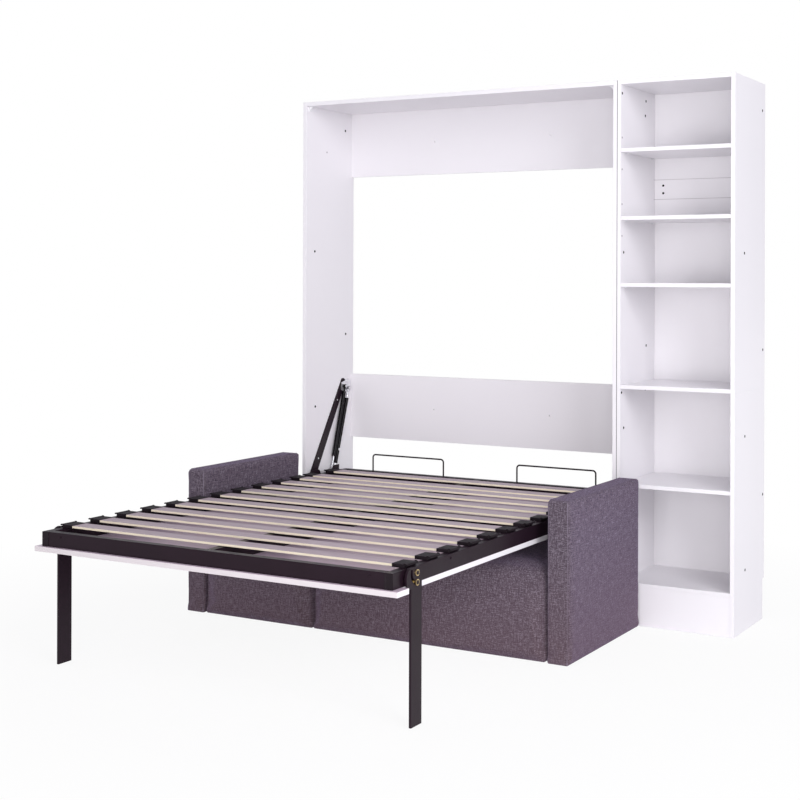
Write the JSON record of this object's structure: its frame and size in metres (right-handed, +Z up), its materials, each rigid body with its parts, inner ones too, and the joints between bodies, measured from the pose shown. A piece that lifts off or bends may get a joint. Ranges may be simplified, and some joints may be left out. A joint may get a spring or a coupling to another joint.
{
  "type": "wall bed",
  "caption": "Vertical wall bed, lowered over a low two-seat sofa, in a white cabinet with a tall open bookcase on one side.",
  "frame": {"origin": "middle of the whole footprint, on the floor", "axes": "+Z up; +Y from the foot of the lowered bed towards the wall; +X towards the bookcase"},
  "size_m": [2.132, 2.06, 2.19],
  "materials": {
    "white_board": "white laminate",
    "upholstery": "woven, matt",
    "black_steel": "powder coated, satin",
    "zinc_steel": "zinc plated",
    "brass": "yellow plated",
    "spring_black": "gloss enamel",
    "spring_rod": "polished",
    "slat_wood": "lacquered birch ply",
    "black_plastic": "matt",
    "white_plastic": "satin"
  },
  "bodies": {
    "cabinet": {"cabinet_left_side": "white_board", "cabinet_right_side": "white_board", "cabinet_top": "white_board", "upper_rear_rail": "white_board", "lower_rear_rail": "white_board", "bookcase_lower_left_side": "white_board", "bookcase_lower_right_side": "white_board", "bookcase_upper_left_side": "white_board", "bookcase_upper_right_side": "white_board", "bookcase_top": "white_board", "bookcase_deck": "white_board", "bookcase_bottom": "white_board", "shelf_first": "white_board", "shelf_second": "white_board", "shelf_third": "white_board", "shelf_low": "white_board", "bookcase_plinth": "white_board", "bookcase_lower_back": "white_board", "bookcase_upper_back": "white_board", "bookcase_wall_strip": "white_board", "sofa_arm_left": "upholstery", "sofa_arm_right": "upholstery", "sofa_seat_short": "upholstery", "sofa_seat_long": "upholstery", "brace_left": "black_steel", "brace_right": "black_steel", "top_stop_left": "white_plastic", "top_stop_right": "white_plastic", "anchor_plate_left": "zinc_steel", "anchor_plate_right": "zinc_steel", "anchor_bolts": "zinc_steel", "brace_screws": "zinc_steel", "pivot_bolt_left": "zinc_steel", "pivot_bolt_right": "zinc_steel", "shelf_pins": "zinc_steel"},
    "bed": {"front_panel": "white_board", "bed_rail_left": "black_steel", "bed_rail_right": "black_steel", "bed_foot_rail": "black_steel", "bed_head_rail": "black_steel", "bed_middle_rail": "black_steel", "centre_beam": "black_steel", "slats": "slat_wood", "slat_holders": "black_plastic", "mattress_guard_left": "black_steel", "mattress_guard_right": "black_steel", "bed_bracket_left": "black_steel", "bed_bracket_right": "black_steel", "leg_bolts_left": "brass", "leg_bolts_right": "brass"},
    "leg_left": {"leg_left": "black_steel"},
    "leg_right": {"leg_right": "black_steel"},
    "front_spring_left_upper": {"spring_front_left_upper": "spring_black"},
    "front_spring_left_lower": {"spring_front_left_lower": "spring_rod"},
    "front_spring_right_upper": {"spring_front_right_upper": "spring_black"},
    "front_spring_right_lower": {"spring_front_right_lower": "spring_rod"},
    "rear_spring_left_upper": {"spring_rear_left_upper": "spring_rod"},
    "rear_spring_left_lower": {"spring_rear_left_lower": "spring_black"},
    "rear_spring_right_upper": {"spring_rear_right_upper": "spring_rod"},
    "rear_spring_right_lower": {"spring_rear_right_lower": "spring_black"}
  },
  "joints": [
    {"name": "bed_fold", "type": "hinge", "parent": "cabinet", "child": "bed", "pos_m": [-0.194, 0.675, 0.462], "axis": [-1, 0, 0], "range_deg": [0, 90]},
    {"name": "leg_left_fold", "type": "hinge", "parent": "bed", "child": "leg_left", "pos_m": [-0.929, -0.898, 0.476], "axis": [1, 0, 0], "range_deg": [0, 90]},
    {"name": "leg_right_fold", "type": "hinge", "parent": "bed", "child": "leg_right", "pos_m": [0.541, -0.898, 0.476], "axis": [1, 0, 0], "range_deg": [0, 90]},
    {"name": "front_spring_left_swing", "type": "hinge", "parent": "cabinet", "child": "front_spring_left_upper", "pos_m": [-0.932, 0.938, 0.878], "axis": [-1, 0, 0], "range_deg": [0, 8.14]},
    {"name": "front_spring_left_slide", "type": "slide", "parent": "front_spring_left_upper", "child": "front_spring_left_lower", "axis": [0, -0.2822, -0.9594], "range_m": [0, 0.1893]},
    {"name": "front_spring_right_swing", "type": "hinge", "parent": "cabinet", "child": "front_spring_right_upper", "pos_m": [0.544, 0.938, 0.878], "axis": [-1, 0, 0], "range_deg": [0, 8.14]},
    {"name": "front_spring_right_slide", "type": "slide", "parent": "front_spring_right_upper", "child": "front_spring_right_lower", "axis": [0, -0.2822, -0.9594], "range_m": [0, 0.1893]},
    {"name": "rear_spring_left_swing", "type": "hinge", "parent": "cabinet", "child": "rear_spring_left_upper", "pos_m": [-0.932, 0.968, 0.868], "axis": [-1, 0, 0], "range_deg": [0, 6.31]},
    {"name": "rear_spring_left_slide", "type": "slide", "parent": "rear_spring_left_upper", "child": "rear_spring_left_lower", "axis": [0, -0.3031, -0.953], "range_m": [0, 0.2466]},
    {"name": "rear_spring_right_swing", "type": "hinge", "parent": "cabinet", "child": "rear_spring_right_upper", "pos_m": [0.544, 0.968, 0.868], "axis": [-1, 0, 0], "range_deg": [0, 6.31]},
    {"name": "rear_spring_right_slide", "type": "slide", "parent": "rear_spring_right_upper", "child": "rear_spring_right_lower", "axis": [0, -0.3031, -0.953], "range_m": [0, 0.2466]}
  ],
  "couplings": [
    {"joint": "front_spring_left_swing", "follows": "bed_fold", "ratio": 0.090351},
    {"joint": "front_spring_left_slide", "follows": "bed_fold", "m_per_rad": 0.12041},
    {"joint": "front_spring_right_swing", "follows": "bed_fold", "ratio": 0.090351},
    {"joint": "front_spring_right_slide", "follows": "bed_fold", "m_per_rad": 0.12041},
    {"joint": "rear_spring_left_swing", "follows": "bed_fold", "ratio": 0.070005},
    {"joint": "rear_spring_left_slide", "follows": "bed_fold", "m_per_rad": 0.15686},
    {"joint": "rear_spring_right_swing", "follows": "bed_fold", "ratio": 0.070005},
    {"joint": "rear_spring_right_slide", "follows": "bed_fold", "m_per_rad": 0.15686}
  ]
}
